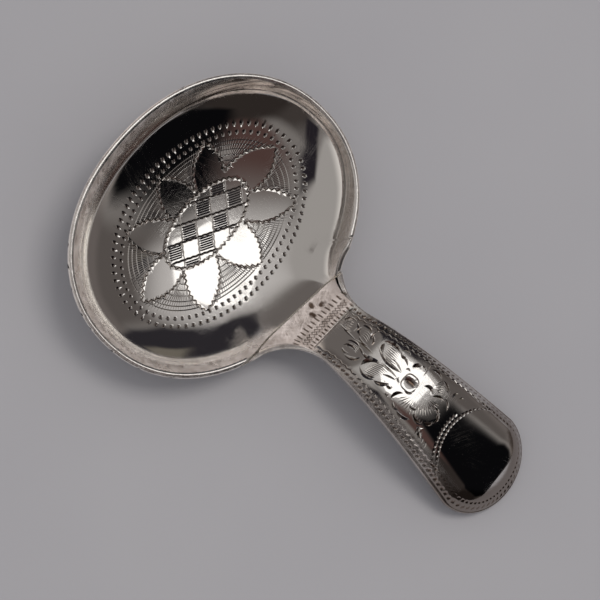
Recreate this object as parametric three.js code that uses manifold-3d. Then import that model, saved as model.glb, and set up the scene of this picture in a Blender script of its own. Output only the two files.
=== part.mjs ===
// Silver caddy spoon: an oval dish, a domed and arched handle, and the solder seam that joins them.
// Millimetres. The spoon lies on a table as it would, on the belly of its dish and the handle's tip.
// The origin is on the table where the dish touches it, +X runs to the handle's tip, +Z is up.
import * as THREE from 'three';
import { mergeVertices } from 'three/addons/utils/BufferGeometryUtils.js';
import Module from 'manifold-3d';

const wasm = await Module();
wasm.setup();

// Dish, with its rim level: an oval that is wider than it is long
const dishHalfLength = 18.7;
const dishHalfWidth = 24.1;
const ovalPower = 2.12;         // 2 is a true ellipse, more is a little squarer
const rimHeight = 7.4;          // top of the filed rim above the lowest point of the dish
const rimLand = 0.85;           // width of the filed rim
const floorThickness = 0.7;     // sheet at the middle of the dish
const dishSag = 2.9;            // rise of the gentle middle, out to the rim
const wallPower = 11;           // how late and how steeply the wall turns up
const neckDip = 2.0;            // how much lower the rim runs where the handle leaves it
const neckDipHalfWidth = 8.5;

// Seam between the dish and the handle
const seamInset = 1.33;         // from the dish's own oval back to the seam, along the middle
const seamSlant = 6;            // degrees off square, as filed by hand
const seamWidth = 0.2;
const neckReach = 1.2;          // the whole dish is shaped this far past the seam, then cut there
const neckRounding = 0.01;      // softens the corner where that neck meets the shoulder

// Handle, with the rim level too
const handleLength = 39.3;      // from the dish's own oval to the tip
const neckHalfWidth = 4.8;
const endHalfWidth = 8.1;
const endLength = 6.9;          // length of the rounded end
const shoulderRadius = 7.6;     // concave fillet between rim and handle
const neckThickness = 1.05;
const tipThickness = 0.85;
const edgeBevel = 0.2;          // the handle's edge leans in by this much
const archLift = 9.4;           // upward pull of the arch where it leaves the shoulders
const archHold = 2.8;           // how far the arch is held up before the tip
const domeRise = 2.6;           // crown of the handle above its edges
const domePower = 5;            // 2 is a round crown, more is a flatter one
const domeRun = 30;             // length from the seam over which the crown rises
const hollowRun = 11;           // length over which the neck's hollow runs out

// How the spoon lies
const restPitch = 8.3;          // degrees from the level rim down towards the handle
const restWear = 0.03;          // depth of the flat worn under the dish

// How finely the surfaces are faceted
const dishSegments = 88;
const insideShares = [0.15, 0.3, 0.45, 0.58, 0.7, 0.79, 0.86, 0.91, 0.95, 0.98, 1];
const sharesPastContact = [1, 0.965, 0.91, 0.83, 0.73, 0.58, 0.4, 0.2, 0.1];
const sharesToContact = [1, 0.9, 0.8, 0.5];
const handleStations = 30;
const stationCrowding = 1.25;   // more than 1 sets the stations closer at the seam
const endStations = 7;
const handleColumns = 14;

// How finely the outline is searched
const ovalSamples = 400;
const halvings = 40;
const slantRounds = 60;
const widestStretch = 2.5;

const degree = Math.PI / 180;
const seamX = dishHalfLength - seamInset;
const seamSlope = Math.tan(seamSlant * degree);
const tipX = dishHalfLength + handleLength;
const endX = tipX - endLength;
const filletY = neckHalfWidth + shoulderRadius;
const cutterSize = 4 * dishHalfWidth;

// The dish touches the table where its belly slopes as much as the spoon is pitched
const restSlope = Math.tan(restPitch * degree);
const contactX = (restSlope * dishHalfLength ** 2) / (2 * dishSag);
const contactHeight = (contactX * restSlope) / 2;
const tableHeight = (x) => contactHeight + (x - contactX) * restSlope
  + restWear / Math.cos(restPitch * degree);
const tipTop = tableHeight(tipX) + tipThickness;

const smooth = (t) => {
  const u = Math.min(Math.max(t, 0), 1);
  return u * u * (3 - 2 * u);
};
const mix = (a, b, t) => a + (b - a) * t;

// Where the shoulder's fillet touches both the oval and the handle's side
function ovalDistance(x, y) {
  let nearest = Infinity;
  for (let i = 0; i <= ovalSamples; i++) {
    const angle = (i / ovalSamples) * Math.PI / 2;
    const dx = dishHalfLength * Math.abs(Math.cos(angle)) ** (2 / ovalPower) - x;
    const dy = dishHalfWidth * Math.sin(angle) ** (2 / ovalPower) - y;
    nearest = Math.min(nearest, Math.hypot(dx, dy));
  }
  return nearest;
}

function findNeckX() {
  let near = dishHalfLength;
  let far = dishHalfLength + 3 * shoulderRadius;
  for (let i = 0; i < halvings; i++) {
    const middle = (near + far) / 2;
    if (ovalDistance(middle, filletY) < shoulderRadius) near = middle;
    else far = middle;
  }
  return far;
}

const neckX = findNeckX();

// Half width of the outline at x, drawn in by an inset: oval, fillet, tapering side
function halfWidth(x, inset) {
  const along = Math.min(Math.abs(x) / (dishHalfLength - inset), 1);
  const oval = (dishHalfWidth - inset) * (1 - along ** ovalPower) ** (1 / ovalPower);
  const filletR = shoulderRadius + inset;
  const run = neckX - x;
  if (run >= filletR) return oval;
  if (run > 0) return Math.max(oval, filletY - Math.sqrt(filletR * filletR - run * run));
  return mix(neckHalfWidth, endHalfWidth, (x - neckX) / (endX - neckX)) - inset;
}

// The dish's rays run to the oval, and at the neck a little past the seam
function ovalStretch(angle) {
  const along = Math.abs(Math.cos(angle)) ** ovalPower;
  const across = Math.abs(Math.sin(angle)) ** ovalPower;
  return (along + across) ** (-1 / ovalPower);
}

function rimStretch(angle, inset) {
  const ax = (dishHalfLength - inset) * Math.cos(angle);
  const ay = (dishHalfWidth - inset) * Math.sin(angle);
  const towardsSeam = ax - seamSlope * ay;
  if (ax <= 0 || towardsSeam <= 0) return ovalStretch(angle);
  let inside = ovalStretch(angle);
  let outside = widestStretch;
  for (let i = 0; i < halvings; i++) {
    const k = (inside + outside) / 2;
    if (Math.abs(k * ay) > halfWidth(k * ax, inset)) outside = k;
    else inside = k;
  }
  const reach = (seamX + neckReach) / towardsSeam;
  const shorter = Math.min(inside, reach);
  const apart = Math.abs(inside - reach);
  return shorter - neckRounding * Math.log(1 + Math.exp(-apart / neckRounding));
}

// The dish's two faces: how far in from the outline each ends, and its height at the middle
const insideFace = { inset: rimLand, floor: floorThickness };
const underFace = { inset: 0, floor: 0 };

const neckShare = (angle) => {
  if (Math.cos(angle) <= 0) return 0;
  return Math.exp(-(((dishHalfWidth * Math.sin(angle)) / neckDipHalfWidth) ** 4));
};
const rimTop = (angle) => rimHeight - neckDip * neckShare(angle);

// Height of a face along one ray, at a share of the way out: a gentle middle, then the wall
function dishHeight(face, angle, rho) {
  const sag = dishSag * (rimStretch(angle, face.inset) / ovalStretch(angle)) ** 2;
  const wall = rimTop(angle) - face.floor - sag;
  return face.floor + sag * rho ** 2 + wall * rho ** wallPower;
}

function dishPoint(face, angle, rho) {
  const reach = rho * rimStretch(angle, face.inset);
  const x = reach * (dishHalfLength - face.inset) * Math.cos(angle);
  const y = reach * (dishHalfWidth - face.inset) * Math.sin(angle);
  return [x, y, dishHeight(face, angle, rho)];
}

// The same face asked for by place
function dishHeightAt(face, x, y) {
  const alongShare = x / (dishHalfLength - face.inset);
  const acrossShare = y / (dishHalfWidth - face.inset);
  const angle = Math.atan2(acrossShare, alongShare);
  const rho = Math.hypot(alongShare, acrossShare) / rimStretch(angle, face.inset);
  return dishHeight(face, angle, Math.min(1, rho));
}

function geometryFrom(points, triangles) {
  const geometry = new THREE.BufferGeometry();
  geometry.setAttribute('position', new THREE.Float32BufferAttribute(points.flat(), 3));
  geometry.setIndex(triangles.flat());
  return geometry;
}

// Closed shell of the whole dish: inside from the middle out, over the rim, and back underneath,
// with its rings closest where the dish will touch the table
function dishShell() {
  const contactShare = contactX / dishHalfLength;
  const underShares = [
    ...sharesPastContact.map((share) => mix(contactShare, 1, share)),
    ...sharesToContact.map((share) => contactShare * share),
  ];
  const rings = [
    ...insideShares.map((rho) => [rho, insideFace]),
    ...underShares.map((rho) => [rho, underFace]),
  ];
  const points = [[0, 0, floorThickness]];
  for (const [rho, face] of rings) {
    for (let i = 0; i < dishSegments; i++) {
      points.push(dishPoint(face, (i / dishSegments) * 2 * Math.PI, rho));
    }
  }
  const last = points.push([0, 0, 0]) - 1;
  const at = (ring, i) => 1 + ring * dishSegments + (i % dishSegments);
  const triangles = [];
  for (let i = 0; i < dishSegments; i++) {
    triangles.push([0, at(0, i), at(0, i + 1)]);
    for (let ring = 0; ring < rings.length - 1; ring++) {
      triangles.push([at(ring, i), at(ring + 1, i), at(ring + 1, i + 1)]);
      triangles.push([at(ring, i), at(ring + 1, i + 1), at(ring, i + 1)]);
    }
    triangles.push([at(rings.length - 1, i), last, at(rings.length - 1, i + 1)]);
  }
  return geometryFrom(points, triangles);
}

// From the level rim to the spoon as it lies, with its lowest point worn away by the table
function laidDown(geometry) {
  geometry.translate(-contactX, 0, -contactHeight);
  geometry.rotateY(restPitch * degree);
  return geometry.translate(0, 0, -restWear);
}

// Solid from a closed geometry, and back
function toSolid(geometry) {
  const bare = geometry.clone();
  bare.deleteAttribute('normal');
  bare.deleteAttribute('uv');
  const merged = mergeVertices(bare, 1e-5);
  return new wasm.Manifold(new wasm.Mesh({
    numProp: 3,
    vertProperties: new Float32Array(merged.attributes.position.array),
    triVerts: new Uint32Array(merged.index.array),
  }));
}

function toGeometry(solid) {
  const mesh = solid.getMesh();
  const geometry = new THREE.BufferGeometry();
  geometry.setAttribute('position', new THREE.BufferAttribute(mesh.vertProperties, 3));
  geometry.setIndex(new THREE.BufferAttribute(mesh.triVerts, 1));
  geometry.computeVertexNormals();
  return geometry;
}

// A block that starts on the slanted seam plane and reaches a distance towards the handle
function blockPast(depth) {
  const block = new THREE.BoxGeometry(depth, cutterSize, cutterSize);
  block.translate(depth / 2, 0, 0);
  block.rotateZ(-seamSlant * degree);
  block.translate(seamX, 0, 0);
  return toSolid(laidDown(block));
}

function tableBlock() {
  const block = new THREE.BoxGeometry(cutterSize, cutterSize, cutterSize);
  return toSolid(block.translate(0, 0, -cutterSize / 2));
}

// Handle stations run from the seam to the start of the rounded end, then round it
const handleStartX = seamX + seamWidth / Math.cos(seamSlant * degree);

function outlineAt(station, inset) {
  if (station <= handleStations) {
    const x = mix(handleStartX, endX, (station / handleStations) ** stationCrowding);
    return { x, half: (atX) => halfWidth(atX, inset), round: 1 };
  }
  const angle = ((station - handleStations) / endStations) * Math.PI / 2;
  const round = Math.cos(angle);
  const x = endX + (endLength - inset) * Math.sin(angle);
  return { x, half: () => (endHalfWidth - inset) * round, round };
}

// Height of the handle's top edge, from the rim at the seam over the arch to the tip on the table
const seamEdgeAngle = Math.atan2(halfWidth(seamX, 0) / dishHalfWidth, seamX / dishHalfLength);
const seamEdgeHeight = rimTop(seamEdgeAngle);
function archHeight(x) {
  const t = (x - handleStartX) / (tipX - handleStartX);
  const s = 1 - t;
  const lifted = seamEdgeHeight + archLift;
  const held = tipTop + archHold;
  return s ** 3 * seamEdgeHeight + 3 * s * s * t * lifted + 3 * s * t * t * held
    + t ** 3 * tipTop;
}

// The dish's section along the seam, at a share across from -1 to 1
function seamHeight(face, across) {
  let y = 0;
  for (let i = 0; i < slantRounds; i++) {
    y = across * halfWidth(handleStartX + seamSlope * y, face.inset);
  }
  return dishHeightAt(face, handleStartX + seamSlope * y, y);
}

// One point of the handle, at a share across
function handlePoint(station, across, isTop) {
  const turned = smooth((outlineAt(station, 0).x - handleStartX) / (neckX - handleStartX));
  const inset = isTop ? mix(rimLand, edgeBevel, turned) : 0;
  const outline = outlineAt(station, inset);
  const slant = seamSlope * (1 - turned);
  let y = 0;
  for (let i = 0; i < slantRounds; i++) y = across * outline.half(outline.x + slant * y);
  const x = outline.x + slant * y;
  const thickness = mix(neckThickness, tipThickness, smooth((x - neckX) / (tipX - neckX)));
  const edge = archHeight(outline.x) - (isTop ? 0 : thickness * turned);
  const hollow = seamHeight(isTop ? insideFace : underFace, across);
  const rise = domeRise * smooth((outline.x - handleStartX) / domeRun) * outline.round ** 2;
  const dome = rise * (1 - Math.abs(across) ** domePower);
  const hollowShare = 1 - smooth((outline.x - handleStartX) / hollowRun);
  return [x, y, edge + dome + (hollow - seamEdgeHeight) * hollowShare];
}

// Closed body of the handle: a ring of points at each station, closed at the seam and the tip
function handleGeometry() {
  const points = [];
  const ringSize = 2 * (handleColumns + 1);
  const lastRing = handleStations + endStations - 1;
  for (let station = 0; station <= lastRing; station++) {
    for (let c = 0; c <= handleColumns; c++) {
      points.push(handlePoint(station, (2 * c) / handleColumns - 1, true));
    }
    for (let c = handleColumns; c >= 0; c--) {
      points.push(handlePoint(station, (2 * c) / handleColumns - 1, false));
    }
  }
  const tipAbove = points.push(handlePoint(lastRing + 1, 0, true)) - 1;
  const tipUnder = points.push(handlePoint(lastRing + 1, 0, false)) - 1;
  const at = (ring, i) => ring * ringSize + (i % ringSize);
  const triangles = [];
  for (let ring = 0; ring < lastRing; ring++) {
    for (let i = 0; i < ringSize; i++) {
      triangles.push([at(ring, i), at(ring + 1, i), at(ring + 1, i + 1)]);
      triangles.push([at(ring, i), at(ring + 1, i + 1), at(ring, i + 1)]);
    }
  }
  for (let c = 0; c < handleColumns; c++) {
    const under = ringSize - 1 - c;
    triangles.push([at(lastRing, c), tipAbove, at(lastRing, c + 1)]);
    triangles.push([at(lastRing, under), at(lastRing, under - 1), tipUnder]);
    triangles.push([at(0, c), at(0, c + 1), at(0, under)]);
    triangles.push([at(0, c + 1), at(0, under - 1), at(0, under)]);
  }
  const right = handleColumns;
  triangles.push([at(lastRing, right), tipAbove, tipUnder]);
  triangles.push([at(lastRing, right), tipUnder, at(lastRing, right + 1)]);
  triangles.push([at(lastRing, ringSize - 1), tipUnder, tipAbove]);
  triangles.push([at(lastRing, ringSize - 1), tipAbove, at(lastRing, 0)]);
  return geometryFrom(points, triangles);
}

const sterling = () => new THREE.MeshStandardMaterial({
  color: 0xd9d7d4, metalness: 1, roughness: 0.16,
});
const solder = () => new THREE.MeshStandardMaterial({
  color: 0xcfccc6, metalness: 1, roughness: 0.3,
});

function piece(name, geometry, material) {
  const mesh = new THREE.Mesh(geometry, material);
  mesh.name = name;
  return mesh;
}

const wholeDish = toSolid(laidDown(dishShell()));
const bowl = wholeDish.subtract(blockPast(cutterSize)).subtract(tableBlock());
const seam = wholeDish.intersect(blockPast(seamWidth));

const spoon = new THREE.Group();
spoon.add(piece('bowl', toGeometry(bowl), sterling()));
spoon.add(piece('solder_seam', toGeometry(seam), solder()));
spoon.add(piece('handle', laidDown(handleGeometry()), sterling()));

export default spoon;
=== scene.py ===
import math
from functools import partial

import bpy
import numpy as np
from mathutils import Matrix, Vector
from mathutils.geometry import delaunay_2d_cdt


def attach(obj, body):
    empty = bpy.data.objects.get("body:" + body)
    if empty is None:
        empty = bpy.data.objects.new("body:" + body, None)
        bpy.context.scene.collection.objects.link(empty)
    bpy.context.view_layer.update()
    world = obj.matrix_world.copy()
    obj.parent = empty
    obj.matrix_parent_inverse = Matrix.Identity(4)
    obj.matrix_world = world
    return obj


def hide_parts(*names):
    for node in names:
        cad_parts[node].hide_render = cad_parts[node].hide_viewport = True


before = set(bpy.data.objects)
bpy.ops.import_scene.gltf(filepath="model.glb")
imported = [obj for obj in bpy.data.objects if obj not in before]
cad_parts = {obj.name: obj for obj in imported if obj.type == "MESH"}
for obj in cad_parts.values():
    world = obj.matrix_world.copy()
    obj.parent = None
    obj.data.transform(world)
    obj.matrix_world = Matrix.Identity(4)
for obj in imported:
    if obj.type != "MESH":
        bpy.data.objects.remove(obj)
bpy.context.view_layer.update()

mm = 0.001
scene = bpy.context.scene
scene.view_settings.view_transform = "Standard"

# The spoon is shaped with its rim level, in millimetres, and laid on its belly and tip afterwards
dish = {
    "halfLength": 18.7,
    "halfWidth": 24.1,
    "ovalPower": 2.12,      # a little squarer than an ellipse
    "rimHeight": 7.4,
    "rimLand": 0.85,
    "floor": 0.7,
    "sag": 2.9,
    "wallPower": 11,
    "neckDip": 2.0,
    "neckDipHalfWidth": 8.5,
    "seamInset": 1.33,
    "seamSlant": 6,
    "seamWidth": 0.2,
    "neckReach": 1.2,
    "neckRounding": 0.01,
    "innerDrop": 0.1,       # chamfer filed inside the rim
    "outerDrop": 0.35,      # and the worn round outside it
    "outerRound": 0.38,
    "wallShare": 0.165,     # the outer part of the floor's run that is made in rings
    "softStep": 1.2,        # smooths the slope of the dish's floor where its rays meet the neck's corners
    "leastStep": 0.005,
    "justInside": 0.9995,   # where the wall's slope at the rim is taken
    "evenedOver": 12,
    # dents in the rim's outer edge: where, in degrees round the dish, and how deep in millimetres
    "nicks": [(-136, 0.1), (-128, 0.2), (-119, 0.08), (-108, 0.16), (-101, 0.1), (-88, 0.2), (-74, 0.1),
              (-60, 0.12), (152, 0.08)],
    "nickSpread": 0.45,
}
# How rubbed each part is, from mirror bright at 0 to satin at 1. In the dish it is a band inside the
# rim, given for the far side and the near side.
rubbed = {
    "wall": (0.04, 0.9),
    "wallFade": (0.8, 0.6),     # from this share of the dish's width, over this much
    "bandFrom": (0.95, 0.89),   # where the band begins on the way out
    "bandFade": 0.45,
    "bandEdge": (0.03, 0.12, 1.5),  # it starts this much earlier, comes in over this much, by this power
    "neckFree": (8, 7, 3),      # no band by the seam: beyond this x, within this y, fading over this much
    "land": 0.12,
    "rim": 0.35,
    "under": 0.12,
    "middleUnder": 0.4,
    "handleSide": 0.3,
    "neckLand": 1.1,            # more than satin, by the seam as far as this x
    "neckLandTo": (22.0, 0.5),
    "handleEdge": 0.1,
    "edgeFrom": (0.8, 0.2),     # these are shares of the handle's half width
    "nearBorder": 0.3,          # the border on the handle's near side
    "nearFrom": (0.66, 0.16),
    "nearTo": (52, 8),          # gone at this x, after fading over this much
}
handle = {
    "length": 39.3,
    "neckHalfWidth": 4.8,
    "endHalfWidth": 8.1,
    "endLength": 6.9,
    "shoulderRadius": 7.6,
    "neckThickness": 1.05,
    "tipThickness": 0.85,
    "bevel": 0.2,
    "archLift": 9.4,
    "archHold": 2.8,
    "domeRise": 3.0,
    "domePower": 5,
    "domeRun": 38,
    "hollowRun": 11,
    "likeRimRun": 4,        # how far its sides keep the profile of the dish's rim
}
# Over the rim, from the dish's inside edge out: share of the land's width, and how far down
rimSteps = [(0, dish["innerDrop"]), (0.106, 0), (1 - dish["outerRound"] / dish["rimLand"], 0)]
for turn in (18, 36, 54, 72, 90):
    rimSteps.append((1 - dish["outerRound"] / dish["rimLand"] * (1 - math.sin(math.radians(turn))),
                     dish["outerDrop"] * (1 - math.cos(math.radians(turn)))))
# and down the handle's side, as shares of the way out and of the way down
sideSteps = [(0, 0), (0.3, 0.02), (0.65, 0.08), (0.9, 0.18), (1, 0.3), (1, 0.8), (0.98, 0.95), (0.93, 1)]
# it rests on its belly and its tip, and is worn a little flat under the belly
rest = {"pitch": math.radians(8.3), "wear": 0.03}
# How many points, steps or rings each part is made with
fineness = {
    "rim": 480,
    "seam": 40,
    "rings": 14,
    "under": 26,
    "stations": 150,
    "tip": 44,
    "columns": 24,
    "solder": 61,
    "field": 0.42,          # millimetres between the loose points of an upper face
    "cell": 0.3,            # and none of them in a cell of this size that has close points
    "row": 6,               # points of a row's path to each of its marks
    "line": 60,
    "side": 40,
    "neckLine": 24,
    # how the points crowd: towards the rim inside the dish and under it, and towards the seam
    "wallCrowd": 1.5,
    "underCrowd": 0.6,
    "handleCrowd": 1.2,
    "dome": (96, 97, 241),  # it ends this many degrees from the zenith; its rings and its ribs
}

seamX = dish["halfLength"] - dish["seamInset"]
seamSlope = math.tan(math.radians(dish["seamSlant"]))
startX = seamX + dish["seamWidth"] / math.cos(math.radians(dish["seamSlant"]))
tipX = dish["halfLength"] + handle["length"]
endX = tipX - handle["endLength"]
filletY = handle["neckHalfWidth"] + handle["shoulderRadius"]
restSlope = math.tan(rest["pitch"])
contactX = restSlope * dish["halfLength"] ** 2 / (2 * dish["sag"])
contactHeight = contactX * restSlope / 2
tableAtTip = contactHeight + (tipX - contactX) * restSlope + rest["wear"] / math.cos(rest["pitch"])
tipTop = tableAtTip + handle["tipThickness"]


def smooth(t):
    u = np.clip(t, 0, 1)
    return u * u * (3 - 2 * u)


def mix(a, b, t):
    return a + (b - a) * t


def stack(*columns):
    return np.column_stack(columns)


def findNeckX():  # where the shoulder's fillet touches the oval and the handle's side
    angle = np.linspace(0, math.pi / 2, 2001)
    ovalX = dish["halfLength"] * np.abs(np.cos(angle)) ** (2 / dish["ovalPower"])
    ovalY = dish["halfWidth"] * np.sin(angle) ** (2 / dish["ovalPower"])
    near, far = dish["halfLength"], dish["halfLength"] + 3 * handle["shoulderRadius"]
    for _ in range(40):
        middle = (near + far) / 2
        if np.hypot(ovalX - middle, ovalY - filletY).min() < handle["shoulderRadius"]:
            near = middle
        else:
            far = middle
    return far


neckX = findNeckX()


def halfWidth(x, inset):
    along = np.minimum(np.abs(x) / (dish["halfLength"] - inset), 1)
    oval = (dish["halfWidth"] - inset) * (1 - along ** dish["ovalPower"]) ** (1 / dish["ovalPower"])
    radius = handle["shoulderRadius"] + inset
    run = neckX - x
    fillet = filletY - np.sqrt(np.maximum(radius ** 2 - run ** 2, 0))
    side = mix(handle["neckHalfWidth"], handle["endHalfWidth"], (x - neckX) / (endX - neckX)) - inset
    return np.where(run >= radius, oval, np.where(run > 0, np.maximum(oval, fillet), side))


def ovalStretch(angle):
    power = dish["ovalPower"]
    return (np.abs(np.cos(angle)) ** power + np.abs(np.sin(angle)) ** power) ** (-1 / power)


def rimStretch(angle, inset):  # how far a ray of the dish runs, as a share of its own ellipse
    ax = (dish["halfLength"] - inset) * np.cos(angle)
    ay = (dish["halfWidth"] - inset) * np.sin(angle)
    towards = ax - seamSlope * ay
    atNeck = (ax > 0) & (towards > 0)
    inside = ovalStretch(angle)
    outside = np.full_like(inside, 2.5)
    for _ in range(30):
        k = (inside + outside) / 2
        beyond = np.abs(k * ay) > halfWidth(k * ax, inset)
        outside = np.where(beyond, k, outside)
        inside = np.where(beyond, inside, k)
    reach = (seamX + dish["neckReach"]) / np.where(atNeck, towards, 1)
    apart = np.abs(inside - reach) / dish["neckRounding"]
    stopped = np.minimum(inside, reach) - dish["neckRounding"] * np.log(1 + np.exp(-apart))
    return np.where(atNeck, stopped, ovalStretch(angle))


def dishAngle(x, y, inset=0):
    return np.arctan2(y / (dish["halfWidth"] - inset), x / (dish["halfLength"] - inset))


def rimTop(angle):
    across = dish["halfWidth"] * np.sin(angle) / dish["neckDipHalfWidth"]
    return dish["rimHeight"] - dish["neckDip"] * np.where(np.cos(angle) > 0, np.exp(-across ** 4), 0)


def dishHeight(face, x, y):
    along = x / (dish["halfLength"] - face["inset"])
    across = y / (dish["halfWidth"] - face["inset"])
    angle = np.arctan2(across, along)
    stretch = rimStretch(angle, face["inset"])
    rho = np.minimum(np.hypot(along, across) / stretch, 1)
    sag = dish["sag"] * (stretch / ovalStretch(angle)) ** 2
    wall = rimTop(angle) - face["drop"] - face["floor"] - sag
    return face["floor"] + sag * rho ** 2 + wall * rho ** dish["wallPower"]


def dishTop(x, y):
    return dishHeight({"inset": dish["rimLand"], "floor": dish["floor"], "drop": dish["innerDrop"]}, x, y)


def dishUnder(x, y):
    return dishHeight({"inset": 0, "floor": 0, "drop": dish["outerDrop"]}, x, y)


seamEdgeHeight = float(rimTop(dishAngle(seamX, halfWidth(seamX, 0))))


def archHeight(x):
    t = (x - startX) / (tipX - startX)
    s = 1 - t
    lifted = seamEdgeHeight + handle["archLift"]
    held = tipTop + handle["archHold"]
    return s ** 3 * seamEdgeHeight + 3 * s * s * t * lifted + 3 * s * t * t * held + t ** 3 * tipTop


def seamY(across, inset, seam):
    y = np.zeros_like(across)
    for _ in range(40):
        y = across * halfWidth(seam + seamSlope * y, inset)
    return y


def seamHeight(height, across, inset):
    y = seamY(across, inset, startX)
    return height(startX + seamSlope * y, y)


acrossTable = np.linspace(-1, 1, 401)
hollowTable = {
    True: seamHeight(dishTop, acrossTable, dish["rimLand"]),
    False: seamHeight(dishUnder, acrossTable, 0),
}


def pastNeck(middle):  # 0 at the seam, 1 where the handle's straight sides start
    return smooth((middle - startX) / (neckX - startX))


def halfAt(middle, x, inset):  # half the handle's width on one station, which is at x there
    endShare = np.clip((middle - endX) / (handle["endLength"] - inset), 0, 1)
    endHalf = (handle["endHalfWidth"] - inset) * np.sqrt(1 - endShare ** 2)
    return np.where(middle > endX, endHalf, halfWidth(x, inset))


def handleSection(middle, across, isTop):  # height of a point of the handle on one station
    endShare = np.clip((middle - endX) / handle["endLength"], 0, 1)
    thinner = smooth((middle - neckX) / (tipX - neckX))
    thickness = mix(handle["neckThickness"], handle["tipThickness"], thinner)
    hollow = np.interp(across, acrossTable, hollowTable[isTop]) - seamEdgeHeight
    rise = handle["domeRise"] * smooth((middle - startX) / handle["domeRun"]) * (1 - endShare ** 2)
    crown = rise * (1 - np.abs(across) ** handle["domePower"])
    edge = archHeight(middle) - (0 if isTop else thickness * pastNeck(middle))
    return edge + crown + hollow * (1 - smooth((middle - startX) / handle["hollowRun"]))


def handleInset(middle, isTop):
    return mix(dish["rimLand"], handle["bevel"], pastNeck(middle)) if isTop else 0 * middle


def handlePlace(middle, across, inset):  # plan place of a station's point
    slant = seamSlope * (1 - pastNeck(middle))
    y = np.zeros_like(middle + across)
    for _ in range(40):
        y = across * halfAt(middle, middle + slant * y, inset)
    return middle + slant * y, y


def handleHeight(x, y):  # the handle's top asked for by place
    middle = x
    for _ in range(8):
        middle = x - seamSlope * (1 - pastNeck(middle)) * y
    half = halfAt(middle, x, handleInset(middle, True))
    return handleSection(middle, np.clip(y / np.maximum(half, 1e-6), -1, 1), True)


def pitched(points):
    cosine, sine = math.cos(rest["pitch"]), math.sin(rest["pitch"])
    x, z = points[:, 0], points[:, 2]
    return stack(cosine * x + sine * z, points[:, 1], cosine * z - sine * x)


def laidDown(points):  # from the level rim to the spoon as it lies on the table
    return pitched(points - (contactX, 0, contactHeight)) - (0, 0, rest["wear"])


def surfaceNormals(height, x, y, step=0.01):  # a wider step smooths over creases
    slopeX = (height(x + step, y) - height(x - step, y)) / (2 * step)
    slopeY = (height(x, y + step) - height(x, y - step)) / (2 * step)
    normals = stack(-slopeX, -slopeY, np.ones_like(slopeX))
    return normals / np.linalg.norm(normals, axis=1)[:, None]


def gridFaces(first, rows, columns, flip=False):  # quads between closed rows of points
    faces = []
    for row in range(rows - 1):
        for column in range(columns):
            a = first + row * columns + column
            b = first + row * columns + (column + 1) % columns
            face = (a, b, b + columns, a + columns)
            faces.append(face[::-1] if flip else face)
    return faces


def makePiece(name, points, faces, material):
    mesh = bpy.data.meshes.new(name)
    laid = laidDown(points)
    laid[:, 2] = np.maximum(laid[:, 2], 0)
    mesh.from_pydata((laid * mm).tolist(), [], faces)
    mesh.materials.append(material)
    mesh.shade_smooth()
    piece = bpy.data.objects.new(name, mesh)
    scene.collection.objects.link(piece)
    return piece


def paint(piece, name, values):  # one number at each point, for the material to read
    layer = piece.data.attributes.new(name, "FLOAT", "POINT")
    layer.data.foreach_set("value", np.asarray(values, float))


def giveNormals(piece, vertexNormals, deep, punched):
    # the surface's own slope where it is known, each cut's flat facets, and the mesh's own elsewhere
    mesh = piece.data
    leastPunch, leastCut = 1e-3, 1e-4
    vertexNormals = np.where(punched[:, None] > leastPunch, 0, vertexNormals)
    loops = np.empty(len(mesh.loops), dtype=np.int64)
    mesh.loops.foreach_get("vertex_index", loops)
    totals = np.empty(len(mesh.polygons), dtype=np.int64)
    mesh.polygons.foreach_get("loop_total", totals)
    faceOf = np.repeat(np.arange(len(totals)), totals)
    faceNormals = np.empty(len(totals) * 3)
    mesh.polygons.foreach_get("normal", faceNormals)
    isCut = np.zeros(len(totals), dtype=bool)
    np.logical_or.at(isCut, faceOf, deep[loops] > leastCut)
    normals = np.where(isCut[faceOf][:, None], faceNormals.reshape(-1, 3)[faceOf], vertexNormals[loops])
    mesh.normals_split_custom_set(normals.tolist())


# Camera, set by the picture: it looks down on the spoon from the side of the dish's near rim
cameraView = {
    "eye": (5.87, -83.47, 291.06),
    "right": (0.7564, 0.6260, 0.1898),
    "up": (-0.6541, 0.7275, 0.2073),
    "focal": 2063.4,        # in pixels of a picture 600 wide
    "width": 600,
}


def makeCamera(view):
    camera = bpy.data.objects.new("camera", bpy.data.cameras.new("camera"))
    right = Vector(view["right"]).normalized()
    back = right.cross(Vector(view["up"])).normalized()
    up = back.cross(right)
    camera.matrix_world = Matrix((
        (right.x, up.x, back.x, view["eye"][0] * mm),
        (right.y, up.y, back.y, view["eye"][1] * mm),
        (right.z, up.z, back.z, view["eye"][2] * mm),
        (0, 0, 0, 1),
    ))
    camera.data.angle = 2 * math.atan(view["width"] / 2 / view["focal"])
    camera.data.clip_start = 0.01
    scene.collection.objects.link(camera)
    scene.camera = camera


makeCamera(cameraView)
print("camera placed")


def linear(hexColour):  # sRGB hex to linear
    channels = [int(hexColour[i:i + 2], 16) / 255 for i in (1, 3, 5)]
    return [c / 12.92 if c <= 0.04045 else ((c + 0.055) / 1.055) ** 2.4 for c in channels] + [1]


def node(tree, kind, settings=None, **links):  # adds one node, its settings, and its inputs
    added = tree.nodes.new(kind)
    for name, value in (settings or {}).items():
        setattr(added, name, value)
    for name in ("From", "To"):  # the two ends of a range are given together
        if name in links:
            links[name + "_Min"], links[name + "_Max"] = links.pop(name)
    for name, value in links.items():
        numbered = name.startswith("in") and name[2:].isdigit()
        socket = added.inputs[int(name[2:]) if numbered else name.replace("_", " ")]
        if isinstance(value, bpy.types.Node):
            value = value.outputs[0]
        if isinstance(value, bpy.types.NodeSocket):
            tree.links.new(value, socket)
        else:
            socket.default_value = value
    return added


times, timesPlus, greater = ({"operation": name} for name in ("MULTIPLY", "MULTIPLY_ADD", "MAXIMUM"))
inColour = {"data_type": "RGBA"}


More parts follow.
